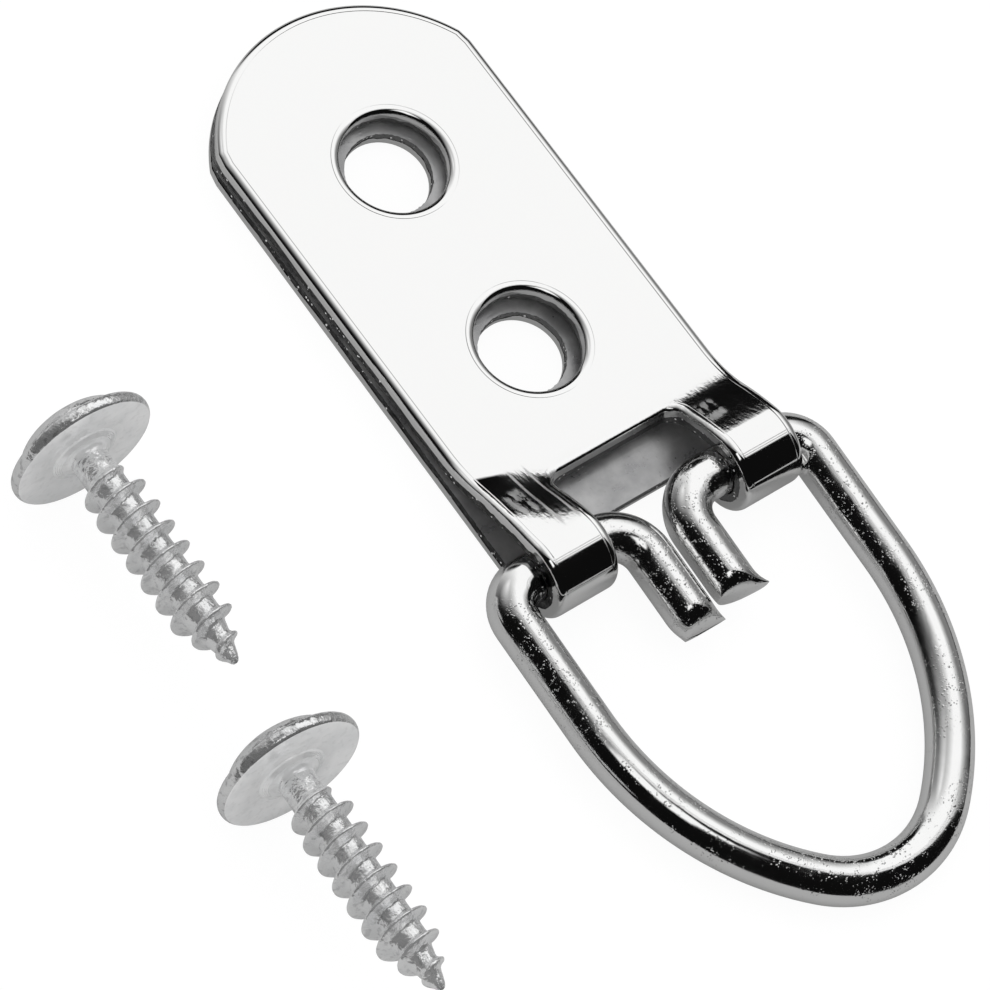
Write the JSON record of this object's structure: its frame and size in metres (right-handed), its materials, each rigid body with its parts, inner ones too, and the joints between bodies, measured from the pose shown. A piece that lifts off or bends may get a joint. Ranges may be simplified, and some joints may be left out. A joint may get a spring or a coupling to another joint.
{
  "type": "ring picture hanger",
  "caption": "Folded steel strap with a row of screw holes, a swinging wire ring turned through its loops, and washer-head wood screws lying beside it.",
  "frame": {"origin": "on the strap's back face, halfway between its two screw holes", "axes": "+Z out of the strap's front face, away from what it is screwed to; +Y along the strap towards its rounded end, so the ring is towards -Y; +X to the right, seen from the front"},
  "size_m": [0.0476, 0.0655, 0.0093],
  "materials": {
    "strap": "bright nickel plate on punched and folded steel sheet",
    "ring": "bright nickel plate on drawn steel wire",
    "screw": "clear zinc plate, a little duller than the strap"
  },
  "bodies": {
    "strap": {"strap": "strap"},
    "ring": {"ring": "ring"},
    "screw_upper": {"screw_upper": "screw"},
    "screw_lower": {"screw_lower": "screw"}
  },
  "joints": [
    {"name": "ring_swing", "type": "hinge", "parent": "strap", "child": "ring", "pos_m": [0, -0.01975, 0.00281], "axis": [-1, 0, 0], "range_deg": [0, 150]},
    {"name": "screw_upper_lift", "type": "slide", "parent": "strap", "child": "screw_upper", "axis": [0, 0, 1], "range_m": [0, 0.03]},
    {"name": "screw_lower_lift", "type": "slide", "parent": "strap", "child": "screw_lower", "axis": [0, 0, 1], "range_m": [0, 0.03]}
  ]
}
